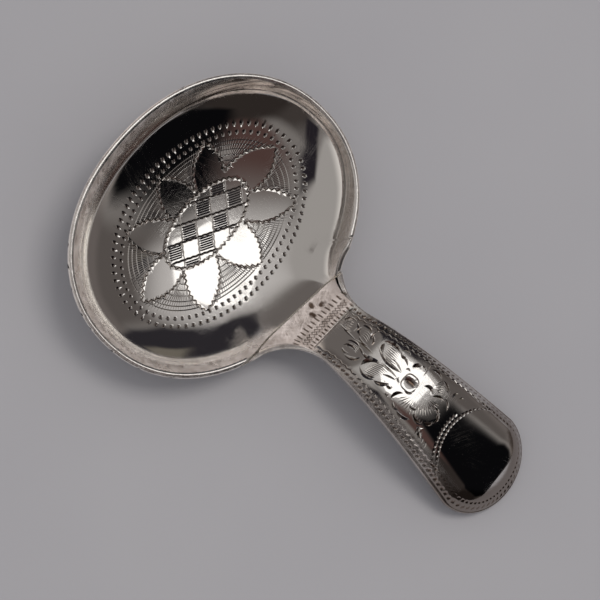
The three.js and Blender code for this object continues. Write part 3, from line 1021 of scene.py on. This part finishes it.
# Bouquet on the handle, in millimetres of plan: each leaf or bract is a cut from one place to
# another, with its bulge, its greatest width, and which side leans
bouquet = {
    "depth": 0.17,
    "fullWidth": 0.4,       # a cut this wide has all of that depth, a narrower one less
    "wider": 1.2,
    "brownWider": 1.5,
    "cuts": [
        # stem and small leaves by the neck
        ((22.6, 1.35), (25.6, 0.45), -0.04, 0.22, 0), ((25.4, 0.5), (28.6, 0.2), 0.02, 0.26, 0),
        ((22.9, 1.9), (24.2, 2.9), 0.3, 0.3, 0.4), ((24.3, 2.8), (24.6, 1.3), 0.25, 0.24, 0.3),
        ((22.9, 1.3), (24.5, 1.2), -0.2, 0.24, 0), ((25.1, 2.8), (26.6, 2.6), 0.25, 0.34, 0.4),
        ((25.2, 2.6), (25.7, 1.3), -0.25, 0.3, 0.4), ((26.7, 2.5), (27.5, 0.9), 0.2, 0.3, 0.3),
        ((25.6, 1.2), (27.4, 0.7), -0.15, 0.26, 0), ((26.5, 3.6), (27.2, 3.3), 0.3, 0.26, 0),
        ((27.0, 3.2), (27.3, 1.6), -0.2, 0.26, 0.3), ((24.8, -0.3), (26.6, -0.2), 0.2, 0.28, 0.4),
        ((24.8, -1.3), (26.4, -1.0), 0.3, 0.34, 0.4), ((24.9, -1.6), (26.0, -1.8), -0.25, 0.26, 0),
        ((25.6, -2.3), (27.6, -1.3), -0.2, 0.4, -0.4), ((26.2, -0.2), (27.7, -0.9), 0.1, 0.26, 0),
        ((27.4, -0.4), (28.7, -0.2), -0.3, 0.4, -0.4),
        # great upper leaf
        ((28.6, 2.7), (31.7, 2.8), 0.2, 0.5, -0.5), ((28.9, 2.6), (29.5, 1.3), -0.2, 0.46, -0.4),
        ((28.4, 1.7), (33.3, 0.75), -0.15, 0.4, 0.5), ((29.4, 1.1), (32.9, 0.75), -0.05, 0.3, 0.3),
        ((31.6, 2.8), (33.3, 2.1), 0.12, 0.36, 0.4), ((31.0, 1.5), (33.2, 0.8), 0.05, 0.26, 0),
        ((31.3, 3.3), (32.9, 3.4), 0.3, 0.3, 0.3), ((31.4, 3.2), (32.8, 2.9), -0.3, 0.36, 0.4),
        # great lower leaf
        ((28.2, -2.2), (30.1, -0.2), 0.22, 0.5, -0.5), ((30.0, -0.15), (33.2, -0.3), 0.04, 0.3, 0.3),
        ((28.2, -2.4), (30.9, -2.7), -0.2, 0.36, 0.4), ((29.4, -2.9), (30.8, -2.3), -0.1, 0.34, 0.5),
        ((30.9, -2.8), (32.8, -1.7), -0.16, 0.56, 0.4), ((31.3, -1.3), (33.3, -0.7), 0.06, 0.3, 0),
        ((32.7, -2.1), (33.6, -1.9), -0.2, 0.4, 0), ((33.3, -3.2), (33.9, -3.1), -0.2, 0.28, 0),
        # bracts round the berry
        ((33.9, 2.4), (34.9, 3.5), 0.12, 0.56, -0.4), ((34.9, 3.5), (35.8, 3.3), 0.2, 0.3, 0),
        ((33.4, 1.5), (34.1, 1.7), 0.3, 0.3, 0.3), ((33.3, -0.3), (33.7, -0.7), 0.1, 0.3, 0),
        ((35.85, 4.7), (35.95, 2.4), 0.0, 0.16, 0), ((35.1, -1.0), (36.3, -0.5), -0.15, 0.34, 0.4),
        ((34.4, -3.3), (35.3, -1.4), 0.2, 0.44, -0.4),
        # flower beyond the berry
        ((36.2, 4.0), (38.5, 3.9), 0.2, 0.36, 0.5), ((38.6, 4.0), (40.2, 2.9), 0.2, 0.4, 0.5),
        ((36.9, 1.4), (38.7, 1.3), 0.32, 0.5, -0.5), ((38.8, 1.1), (40.6, 1.9), 0.15, 0.36, -0.3),
        ((40.4, 2.2), (41.7, 1.0), 0.2, 0.3, 0.3), ((40.1, 0.1), (41.0, -0.2), 0.2, 0.44, 0.4),
        ((40.9, 0.0), (41.2, -1.9), 0.2, 0.44, 0.4), ((41.2, -1.7), (40.2, -2.5), 0.2, 0.5, 0.4),
        ((38.2, -2.7), (40.3, -2.9), -0.18, 0.56, 0.4), ((34.9, -3.3), (36.3, -3.7), -0.25, 0.36, 0.3),
        ((36.0, -3.9), (38.4, -3.6), -0.16, 0.5, 0.4), ((37.0, -2.1), (38.3, -1.85), -0.2, 0.36, 0),
        ((40.2, -3.4), (40.5, -4.2), -0.1, 0.5, 0), ((40.6, -3.9), (41.4, -4.5), -0.2, 0.5, 0.3),
        ((41.4, -4.3), (41.9, -5.0), 0.2, 0.22, 0), ((42.1, -4.4), (42.7, -5.3), 0.2, 0.22, 0),
        # sprigs before the end
        ((41.2, 3.0), (41.6, 4.2), 0.18, 0.3, 0.4), ((42.2, 3.4), (42.7, 4.2), 0.18, 0.28, 0.4),
    ],
    # shading: lines run from one side of a leaf to the other
    "shaded": [
        (((28.9, 2.4), (31.6, 2.6), 0.16), ((28.9, 1.3), (32.6, 0.95), -0.1), 8),
        (((28.5, -1.9), (32.6, -0.6), 0.22), ((28.5, -2.6), (31.2, -1.9), -0.08), 8),
        (((23.0, 1.7), (24.3, 2.5), 0.2), ((23.1, 1.4), (24.4, 1.4), -0.1), 4),
        (((25.4, 2.3), (27.0, 1.8), 0.2), ((25.6, 1.6), (27.2, 1.0), 0.0), 4),
        (((25.0, -0.6), (27.0, -0.7), 0.2), ((25.0, -1.0), (27.0, -1.3), 0.1), 4),
    ],
    # and fans spread from a place between two turns, from one distance to another
    "fans": [
        ((37.7, 0.4), 8, -78, 0.9, 3.0, 11), ((36.9, -0.3), -52, -128, 0.9, 3.1, 9),
        ((37.6, 1.9), 62, 12, 0.8, 2.4, 7),
    ],
    "closer": 1.5,          # every other line of a fan starts this much further out
    "brownTo": 28.2,        # the small leaves have kept their tarnish
    "fine": {"width": 0.2, "depth": 0.08},
    "berry": {"middle": (35.1, 0.35), "half": (1.15, 1.25), "squareness": 0.7,
              "line": {"width": 0.22, "depth": 0.09, "lean": -0.4}},
    "hollow": {"ends": ((34.1, 0.25), (36.1, 0.45)), "line": {"width": 1.8, "depth": 0.12, "lean": 0.3}},
}
borders = {
    "startX": 22.9,
    "reserveX": 45.6,       # where the plain end starts
    "edgeRow": 0.74,        # how far in from the edge the outer row of marks runs
    "endRow": 1.5,
    "ropeLine": 1.42,       # and the wriggled line inside it
    "ropeOver": 0.6,
    "rope": {"pitch": 0.95, "swing": 0.09, "width": 0.28, "depth": 0.1},
    "reserve": {"middle": (50.6, -0.2), "rows": [((7.0, 7.4), 118, 243, 60), ((7.65, 8.05), 168, 232, 40)]},
    # the ground round the marks keeps tarnish and is painted darker as shade: how much and how far in,
    # along the sides and round the end
    "tarnishAndShade": (0.4, 0.75),
    "tarnishAndShadeMore": (44, 5),     # from this x, over this much, and the same below
    "tarnishAndShadeIn": (1.6, 2.6),
    "tarnishAndShadeBroader": (50, 3),
    "tarnishAndShadeFade": 0.6,
    "tarnishAndShadeStart": (22.5, 2),
    "neckRow": 20.15,
    "neckRopes": [(20.98, 1), (21.36, -1)],
    "neckRope": {"pitch": 0.55, "swing": 0.17, "width": 0.22, "depth": 0.13},
    "wedgeRow": 21.95,
    "neckCutX": 22.4,
    "neckCut": {"width": 0.24, "depth": 0.08},
    "neckSlope": 0.06,
    "neckShare": 0.86,
    "punches": [(19.35, 2.5), (18.35, 1.5), (19.35, 0.3)],
}


def alongEdge(side, x, inset):  # plan places a distance inside the handle's edge
    return stack(x, side * (halfWidth(x, 0) - inset))


def roundEnd(inset, fromX):  # from one side round the end to the other
    x = np.linspace(fromX, endX, fineness["side"])
    turn = np.linspace(0, math.pi, fineness["line"])[1:-1]
    cap = stack(endX + (handle["endLength"] - inset) * np.sin(turn),
                (handle["endHalfWidth"] - inset) * np.cos(turn))
    return np.vstack([alongEdge(1, x, inset), cap, alongEdge(-1, x[::-1], inset)])


def neckLine(x):  # across the neck, a little off square
    share = borders["neckShare"]
    y = np.linspace(-share, share, fineness["neckLine"]) * float(halfWidth(np.array(x), 0))
    return stack(x + borders["neckSlope"] * y, y)


def reserveRow(number):
    half, fromTurn, toTurn, count = borders["reserve"]["rows"][number]
    return ellipse(borders["reserve"]["middle"], half, math.radians(fromTurn), math.radians(toTurn), count)


handleRows = [
    markRow("edgeMarks", roundEnd(borders["edgeRow"], borders["startX"]), 92, fine=6, length=0.36, turn=25,
            width=0.46, depth=0.2),
    markRow("endMarks", roundEnd(borders["endRow"], borders["reserveX"]), 44),
    markRow("reserveMarks", reserveRow(0), 25),
    markRow("secondMarks", reserveRow(1), 14),
    markRow("neckMarks", neckLine(borders["neckRow"]), 15, fine=9, lanes=lanes(0.16, 3), length=0.6, turn=90,
            width=0.36, depth=0.2),
    markRow("wedgeMarks", neckLine(borders["wedgeRow"]), 15, fine=9, length=0.44, turn=90, width=0.36,
            depth=0.2),
    # three blank punches on the land by the seam
    markRow("blankMarks", np.array(borders["punches"]), 3, fine=9,
            lanes=(-0.5, -0.38, -0.25, -0.12, 0, 0.12, 0.25, 0.38, 0.5), length=0.4, turn=45, width=1.0,
            depth=0.24),
]


def handleEngraving():
    cuts = []
    for start, stop, bulge, width, lean in bouquet["cuts"]:
        wider = bouquet["wider"] if start[0] > bouquet["brownTo"] else bouquet["brownWider"]
        depth = bouquet["depth"] * width / bouquet["fullWidth"]
        cuts.append(cut(arc(start, stop, bulge), wider * width, depth, lean))
    for upper, lower, count in bouquet["shaded"]:
        one, other = arc(*upper), arc(*lower)
        for share in np.linspace(0, 1, count):
            cuts.append(cut(mix(one, other, share)[1:-1:2], swelling=False, **bouquet["fine"]))
    for middle, fromTurn, toTurn, near, far, count in bouquet["fans"]:
        for number, turn in enumerate(np.radians(np.linspace(fromTurn, toTurn, count))):
            ray = np.array([math.cos(turn), math.sin(turn)])
            inner = near if number % 2 else near * bouquet["closer"]
            cuts.append(dash(middle + ray * inner, middle + ray * far, **bouquet["fine"]))
    berry, hollow = bouquet["berry"], bouquet["hollow"]
    shape = ellipse((0, 0), (1, 1), count=33)
    shape = np.sign(shape) * np.abs(shape) ** berry["squareness"]
    cuts.append(cut(berry["middle"] + shape * berry["half"], swelling=False, **berry["line"]))
    cuts.append(cut(arc(*hollow["ends"]), **hollow["line"]))
    x = np.linspace(borders["startX"], borders["reserveX"] + borders["ropeOver"], fineness["line"])
    cuts += [wriggle(alongEdge(side, x, borders["ropeLine"]), **borders["rope"]) for side in (1, -1)]
    cuts += [wriggle(neckLine(x)[::way], **borders["neckRope"]) for x, way in borders["neckRopes"]]
    cuts.append(cut(neckLine(borders["neckCutX"]), swelling=False, **borders["neckCut"]))
    return cuts


def edgeDistance(x, y):  # about how far in from the handle's edge
    around = np.hypot((x - endX) / handle["endLength"], y / handle["endHalfWidth"])
    return np.where(x > endX, (1 - around) * handle["endLength"], halfWidth(x, 0) - np.abs(y))


def easedFrom(value, fromOver):  # 0 up to the first of the pair, and 1 at the second's length past it
    return smooth((value - fromOver[0]) / fromOver[1])


def handleWear(plan):  # filed and scuffed by the seam and along the edges, bright in the field
    x, y = plan[:, 0], plan[:, 1]
    half = np.maximum(halfWidth(x, 0), 1e-6)
    land = rubbed["neckLand"] * (1 - easedFrom(x, rubbed["neckLandTo"]))
    edge = rubbed["handleEdge"] * easedFrom(np.abs(y) / half, rubbed["edgeFrom"])
    lastX, over = rubbed["nearTo"]
    near = rubbed["nearBorder"] * easedFrom(-y / half, rubbed["nearFrom"]) * smooth((lastX - x) / over)
    return np.maximum(land, np.maximum(edge, near))


# tarnish in the cuts and marks; over the ground of the borders tarnish together with painted shade
def handleTarnishAndShade(points, sunk):  # in the cuts and marks, and over the ground of the borders
    x, berry = points[:, 0], bouquet["berry"]
    inBerry = np.hypot(*(points[:, :2] - berry["middle"]).T) < berry["half"][0]
    bright, brown = sterling["tarnishFrom"]
    start = np.where((x < bouquet["brownTo"]) | inBerry, brown, bright)
    inCuts = smooth((sunk - start) / sterling["tarnishOver"])
    kept = mix(*borders["tarnishAndShade"], easedFrom(x, borders["tarnishAndShadeMore"]))
    broad = mix(*borders["tarnishAndShadeIn"], easedFrom(x, borders["tarnishAndShadeBroader"]))
    inward = smooth((edgeDistance(x, points[:, 1]) - broad) / borders["tarnishAndShadeFade"])
    return np.maximum(inCuts, kept * (1 - inward) * easedFrom(x, borders["tarnishAndShadeStart"]))


def handleShell():
    shares = np.linspace(0, 1, fineness["stations"] + 1) ** fineness["handleCrowd"]
    stations = startX + (endX - startX) * shares
    turns = np.linspace(0, math.pi / 2, fineness["tip"] + 1)[1:-1]
    tipStations = endX + handle["endLength"] * np.sin(turns)
    inner = np.linspace(-1, 1, fineness["columns"] + 1)[1:-1]
    columns, half = len(inner), len(stations) + len(turns)

    def edgePlaces(isTop):  # along one side, round the end, back along the other, and across the seam
        insets = handleInset(stations, isTop)
        rightX, rightY = handlePlace(stations, np.full_like(stations, -1.0), insets)
        leftX, leftY = handlePlace(stations, np.full_like(stations, 1.0), insets)
        capX = endX + (handle["endLength"] - insets[-1]) * np.sin(turns)
        capY = (handle["endHalfWidth"] - insets[-1]) * np.cos(turns)
        backX, backY = handlePlace(np.full(columns, startX), inner[::-1], np.full(columns, insets[0]))
        return (np.r_[rightX, capX, tipX - insets[-1], capX[::-1], leftX[::-1], backX],
                np.r_[rightY, -capY, 0, capY[::-1], leftY[::-1], backY])

    topX, topY = edgePlaces(True)
    underX, underY = edgePlaces(False)
    size = len(topX)
    middles = np.r_[stations, tipStations, tipX, tipStations[::-1], stations[::-1], np.full(columns, startX)]
    acrosses = np.r_[-np.ones(half), 0.0, np.ones(half), inner[::-1]]
    topZ, underZ = handleSection(middles, acrosses, True), handleSection(middles, acrosses, False)
    shell = newShell(topX, topY, handleEngraving(), handleRows, handleHeight, handleWear)
    shell["points"][0][:size, 2] = topZ
    faces = shell["faces"]
    # down the side, which starts as the dish's rim and becomes a plain edge with worn corners
    first = counted(shell)
    likeRim = 1 - smooth((middles - startX) / handle["likeRimRun"])
    onSeam = np.arange(size) >= size - columns
    for (rimShare, drop), (sideShare, down) in zip(rimSteps, sideSteps):
        share = np.where(onSeam, rimShare, mix(sideShare, rimShare, likeRim))
        side = mix(mix(topZ, underZ, down), archHeight(middles) - drop, likeRim)
        z = np.where(onSeam, mix(topZ, underZ, rimShare), side)
        addPoints(shell, stack(mix(topX, underX, share), mix(topY, underY, share), z), rubbed["handleSide"])
    faces += gridFaces(first, len(rimSteps), size, flip=True)
    first += (len(rimSteps) - 1) * size
    # underneath: rows of columns between the two sides
    for middle in np.r_[stations, tipStations][1:]:
        station = np.full_like(inner, middle)
        x, y = handlePlace(station, inner, np.zeros_like(inner))
        addPoints(shell, stack(x, y, handleSection(station, inner, False)), rubbed["under"])

    def underPoint(row, column):
        if column == 0:
            return first + row
        if column == columns + 1:
            return first + 2 * half - row
        if row == 0:
            return first + size - column
        return first + size + (row - 1) * columns + column - 1

    for row in range(half - 1):
        for column in range(columns + 1):
            faces.append((underPoint(row, column), underPoint(row, column + 1),
                          underPoint(row + 1, column + 1), underPoint(row + 1, column)))
    for column in range(columns + 1):
        faces.append((underPoint(half - 1, column), underPoint(half - 1, column + 1), first + half))
    return shell


engravedHandle, handlePoints, handleSunk = makeEngraved("engravedHandle", handleShell(), handleRows,
                                                        handleHeight)
# tarnish in the cuts and marks, and painted shade over the borders' ground
paint(engravedHandle, "recess", handleTarnishAndShade(handlePoints, handleSunk))
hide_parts("handle")
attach(engravedHandle, "root")
print("handle made", len(handlePoints), "points")


def seamRing(seam):  # section of the neck at one face of the seam: top, one rim, underneath, the other
    across = np.linspace(-1, 1, fineness["solder"])
    topY, underY = seamY(across, dish["rimLand"], seam), seamY(across, 0, seam)
    topX, underX = seam + seamSlope * topY, seam + seamSlope * underY
    top = stack(topX, topY, dishTop(topX, topY))
    under = stack(underX, underY, dishUnder(underX, underY))

    def rimAt(end):
        edge = rimTop(dishAngle(underX[end], underY[end]))
        rows = [(*mix(top[end, :2], under[end, :2], share), edge - drop) for share, drop in rimSteps[1:-1]]
        return np.array(rows)

    return np.vstack([top, rimAt(-1), under[::-1], rimAt(0)[::-1]])


def makeSolderLine():
    rings = [seamRing(seamX), seamRing(startX)]
    size = len(rings[0])
    ends = [tuple(range(size))[::-1], tuple(range(size, 2 * size))]
    sides = [(i, (i + 1) % size, size + (i + 1) % size, size + i) for i in range(size)]
    return makePiece("solderLine", np.vstack(rings), sides + ends, filedSolder)


solderLine = makeSolderLine()
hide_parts("solder_seam")
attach(solderLine, "root")
print("solder made")

# Studio: a pale floor under an even sky, one soft window lamp, and what only the silver mirrors: a
# dome of soft-edged flags and a bright window. Places on the dome are degrees right and up in the
# picture, out from the zenith.
studio = {
    "floor": "#9d9c9f",
    "floorPale": "#a3a2a4",
    "speck": "#5f5b5b",
    "cloud": {"scale": 14.0, "range": (0.3, 0.7)},
    "roughness": 0.6,
    "specks": {"scale": 75.0, "size": (0.016, 0.026), "strength": 0.6, "share": 0.62},
    "floorHalf": 4.0,
    "sky": "#fbfaff",
    "skyStrength": 0.67,
    "reach": 2.2,
}
window = {
    "toward": (17, 12),
    "size": (0.9, 0.75),
    "power": 13.5,
    "colour": "#fffaf4",
    "reach": 1.9,
}
glass = {
    "colour": "#fffdfb",
    "strength": 1.25,
    "reach": 0.97,          # a share of the dome's
    "corners": [(7, 6), (20, 2.5), (27, 5), (24, 14), (13, 20), (6, 21)],
}
# each flag is a colour, how soft its edge is in degrees, and its corners
dome = {
    "base": "#74706e",
    "flags": [
        ("#645f5d", 6, [(-2, 30), (-25, 25), (-66, 40), (-50, 75), (-12, 80)]),
        ("#e6dad1", 5, [(-16, 64), (-52, 56), (-70, 80), (-38, 90), (-20, 82)]),
        ("#9b9896", 4, [(4, 26), (2, 12), (-3, 2), (-16, -6), (-30, -20), (-60, -50), (-95, -30), (-95, 30),
                        (-66, 37), (-25, 22)]),
        ("#dcd8d4", 12, [(-70, -48), (-75, 0), (-70, 30), (-78, 48), (-110, 50), (-110, -30), (-86, -60)]),
        ("#3d3836", 12, [(-20, -38), (30, -50), (60, -60), (40, -95), (-60, -95), (-50, -62)]),
        ("#2a2625", 10, [(30, -60), (55, -52), (70, -60), (50, -90), (25, -90)]),
        ("#56514f", 4, [(30, 24), (27, 14), (30, 2), (60, -4), (95, -12), (95, 50), (60, 62), (46, 40)]),
        ("#645e5c", 9, [(66, -2), (64, 30), (50, 54), (70, 80), (110, 20), (100, -30)]),
        ("#807a77", 10, [(62, -16), (92, -14), (84, -60), (62, -70), (66, -40)]),
        ("#2b292d", 2.5, [(1, 28), (27, 26), (46, 43), (66, 72), (20, 90), (-13, 82), (-4, 50)]),
        ("#69645c", 4, [(15, 54), (33, 57), (42, 65), (36, 80), (17, 80)]),
        ("#4d3b38", 6, [(7, -2), (22, -4), (26, -14), (30, -30), (24, -45), (8, -35), (2, -14)]),
        ("#2d2826", 6, [(12, -30), (30, -26), (50, -62), (40, -92), (-30, -90), (0, -44)]),
        ("#09090b", 4, [(20, -1), (33, 0), (39, -5), (46, -7.5), (62, -11), (76, -18), (84, -28), (85, -46),
                        (60, -62), (26, -46), (23, -30), (22, -12)]),
        ("#625b57", 5, [(86, -30), (86, -52), (110, -60), (110, -30)]),
        ("#232025", 2.5, [(-2, -1), (-5, -14), (-18, -27), (-42, -68), (-56, -60), (-32, -24), (-19, -7)]),
        ("#bab7b6", 5, [(-2, 20), (5, 4), (20, 0), (30, 7), (29, 19), (10, 27)]),
    ],
}
pictureRight = Vector((cameraView["right"][0], cameraView["right"][1], 0)).normalized()
pictureUp = Vector((-pictureRight.y, pictureRight.x, 0))


def skyPlace(right, up, reach):
    zenith = math.radians(math.hypot(right, up))
    turn = math.atan2(up, right)
    level = pictureRight * math.cos(turn) + pictureUp * math.sin(turn)
    return (level * math.sin(zenith) + Vector((0, 0, 1)) * math.cos(zenith)) * reach


def newObject(name, points, faces, material):  # for the studio only
    mesh = bpy.data.meshes.new(name)
    mesh.from_pydata(points, [], faces)
    mesh.materials.append(material)
    made = bpy.data.objects.new(name, mesh)
    scene.collection.objects.link(made)
    return made


# Pale card, a little uneven, with a few specks and scuffs
def makeFloor():
    half, cloud, specks = studio["floorHalf"], studio["cloud"], studio["specks"]
    material, add = newMaterial("paleCardFloor")
    place = add("ShaderNodeTexCoord").outputs["Object"]
    noise = add("ShaderNodeTexNoise", Vector=place, Scale=cloud["scale"], Detail=3.0)
    uneven = add("ShaderNodeMapRange", Value=noise, From=cloud["range"])
    paler = add("ShaderNodeMix", inColour, in0=uneven, in6=linear(studio["floor"]),
                in7=linear(studio["floorPale"]))
    cells = add("ShaderNodeTexVoronoi", Vector=place, Scale=specks["scale"])
    speck = add("ShaderNodeMapRange", Value=cells, From=specks["size"], To=(specks["strength"], 0.0))
    chosen = add("ShaderNodeMath", {"operation": "GREATER_THAN"}, in0=cells.outputs["Color"],
                 in1=specks["share"])
    fewer = add("ShaderNodeMath", times, in0=speck, in1=chosen)
    marked = add("ShaderNodeMix", inColour, in0=fewer, in6=paler.outputs[2], in7=linear(studio["speck"]))
    shader = add("ShaderNodeBsdfPrincipled", Base_Color=marked.outputs[2], Roughness=studio["roughness"])
    add("ShaderNodeOutputMaterial", Surface=shader)
    corners = [(-half, -half, 0), (half, -half, 0), (half, half, 0), (-half, half, 0)]
    newObject("floor", corners, [(0, 1, 2, 3)], material)


def glowing(name, colour=None, strength=1.0):  # in the painted shade where no colour is given
    material, add = newMaterial(name)
    shade = linear(colour) if colour else add("ShaderNodeVertexColor", {"layer_name": "shade"})
    shader = add("ShaderNodeEmission", Color=shade, Strength=strength)
    material.cycles.emission_sampling = "NONE"
    add("ShaderNodeOutputMaterial", Surface=shader)
    return material


def makeMirrored(name, points, faces, material):  # only mirrored rays see it
    made = newObject(name, points, faces, material)
    made.visible_camera = made.visible_diffuse = made.visible_shadow = False
    return made


def makeGlass():
    reach = glass["reach"] * studio["reach"]
    corners = [skyPlace(right, up, reach) for right, up in glass["corners"]]
    count = len(corners)
    middle = sum(corners, Vector()) / count
    faces = [(i, (i + 1) % count, count) for i in range(count)]
    makeMirrored("windowGlass", corners + [middle.normalized() * reach], faces,
                 glowing("windowGlass", glass["colour"], glass["strength"]))


def flagShare(points, soft, corners):  # 1 well inside a flag, 0 well outside, soft between
    distance = toSegments(points, corners, np.roll(corners, -1, axis=0))[1].min(axis=1)
    signed = np.where(insideLoop(points, *corners.T), distance, -distance)
    return smooth(signed / (2 * soft) + 0.5)


def makeDome():
    widest, rings, ribs = fineness["dome"]
    zenith, turn = np.linspace(0, widest, rings), np.linspace(0, 360, ribs)[:-1]
    zeniths, turns = np.meshgrid(zenith, np.radians(turn), indexing="ij")
    places = stack((zeniths * np.cos(turns)).ravel(), (zeniths * np.sin(turns)).ravel())
    shades = np.tile(linear(dome["base"]), (len(places), 1))
    for colour, soft, corners in dome["flags"]:
        share = flagShare(places, soft, np.array(corners, float))[:, None]
        shades = mix(shades, np.array(linear(colour)), share)
    points = [skyPlace(right, up, studio["reach"]) for right, up in places]
    made = makeMirrored("flagDome", points, gridFaces(0, len(zenith), len(turn)), glowing("softFlags"))
    layer = made.data.color_attributes.new("shade", "FLOAT_COLOR", "POINT")
    layer.data.foreach_set("color", shades.ravel())


def makeWindow():
    lamp = bpy.data.lights.new("window", "AREA")
    lamp.shape = "RECTANGLE"
    lamp.size, lamp.size_y = window["size"]
    lamp.energy = window["power"]
    lamp.color = linear(window["colour"])[:3]
    made = bpy.data.objects.new("window", lamp)
    place = skyPlace(*window["toward"], window["reach"])
    back = place.normalized()
    side = (pictureRight - back * pictureRight.dot(back)).normalized()
    made.matrix_world = Matrix((side, back.cross(side), back)).transposed().to_4x4()
    made.location = place
    made.visible_glossy = False
    scene.collection.objects.link(made)


def makeRoom():
    world = bpy.data.worlds.new("evenSky")
    world.use_nodes = True
    world.node_tree.nodes.clear()
    add = partial(node, world.node_tree)
    shader = add("ShaderNodeBackground", Color=linear(studio["sky"]), Strength=studio["skyStrength"])
    add("ShaderNodeOutputWorld", Surface=shader)
    scene.world = world


makeFloor()
makeRoom()
makeWindow()
makeDome()
makeGlass()
print("studio set")
